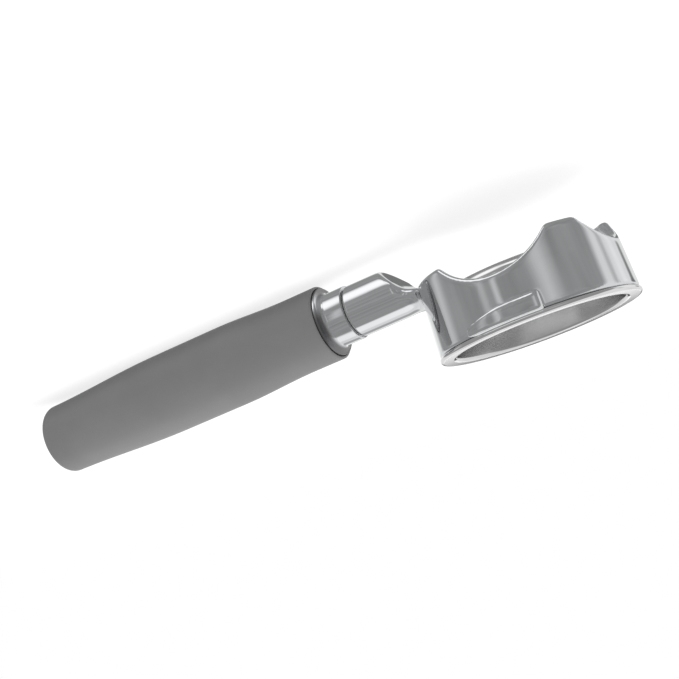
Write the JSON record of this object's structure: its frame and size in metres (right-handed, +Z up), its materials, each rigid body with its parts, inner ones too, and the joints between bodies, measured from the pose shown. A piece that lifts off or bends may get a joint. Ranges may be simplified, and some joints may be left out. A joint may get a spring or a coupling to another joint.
{
  "type": "portafilter",
  "caption": "Bottomless espresso portafilter: chromed bayonet holder with a lift-out perforated basket and a moulded straight handle.",
  "frame": {"origin": "centre of the sealing face on the basket's rim", "axes": "+Z up out of the basket, +X along the handle, +Y completes a right-handed frame"},
  "size_m": [0.2262, 0.084, 0.0447],
  "materials": {
    "holder_casting": "polished chrome plate on forged brass",
    "filter_basket": "bright drawn stainless sheet",
    "retaining_spring": "plain spring wire",
    "shoulder_seal": "black rubber",
    "ferrule": "polished chrome plate",
    "handle_gasket": "black rubber",
    "handle_grip": "charcoal moulded plastic, satin",
    "core_sleeve": "plain drawn tube",
    "tie_bolt": "zinc plated steel",
    "flat_washer": "zinc plated steel",
    "lock_washer": "plain spring steel",
    "end_cap": "black moulded plastic"
  },
  "bodies": {
    "holder": {"holder_casting": "holder_casting", "retaining_spring": "retaining_spring", "shoulder_seal": "shoulder_seal", "ferrule": "ferrule", "handle_gasket": "handle_gasket", "handle_grip": "handle_grip", "core_sleeve": "core_sleeve", "tie_bolt": "tie_bolt", "flat_washer": "flat_washer", "lock_washer": "lock_washer", "end_cap": "end_cap"},
    "basket": {"filter_basket": "filter_basket"}
  },
  "joints": [
    {"name": "basket_lift", "type": "slide", "parent": "holder", "child": "basket", "axis": [0, 0, 1], "range_m": [0, 0.035]}
  ]
}
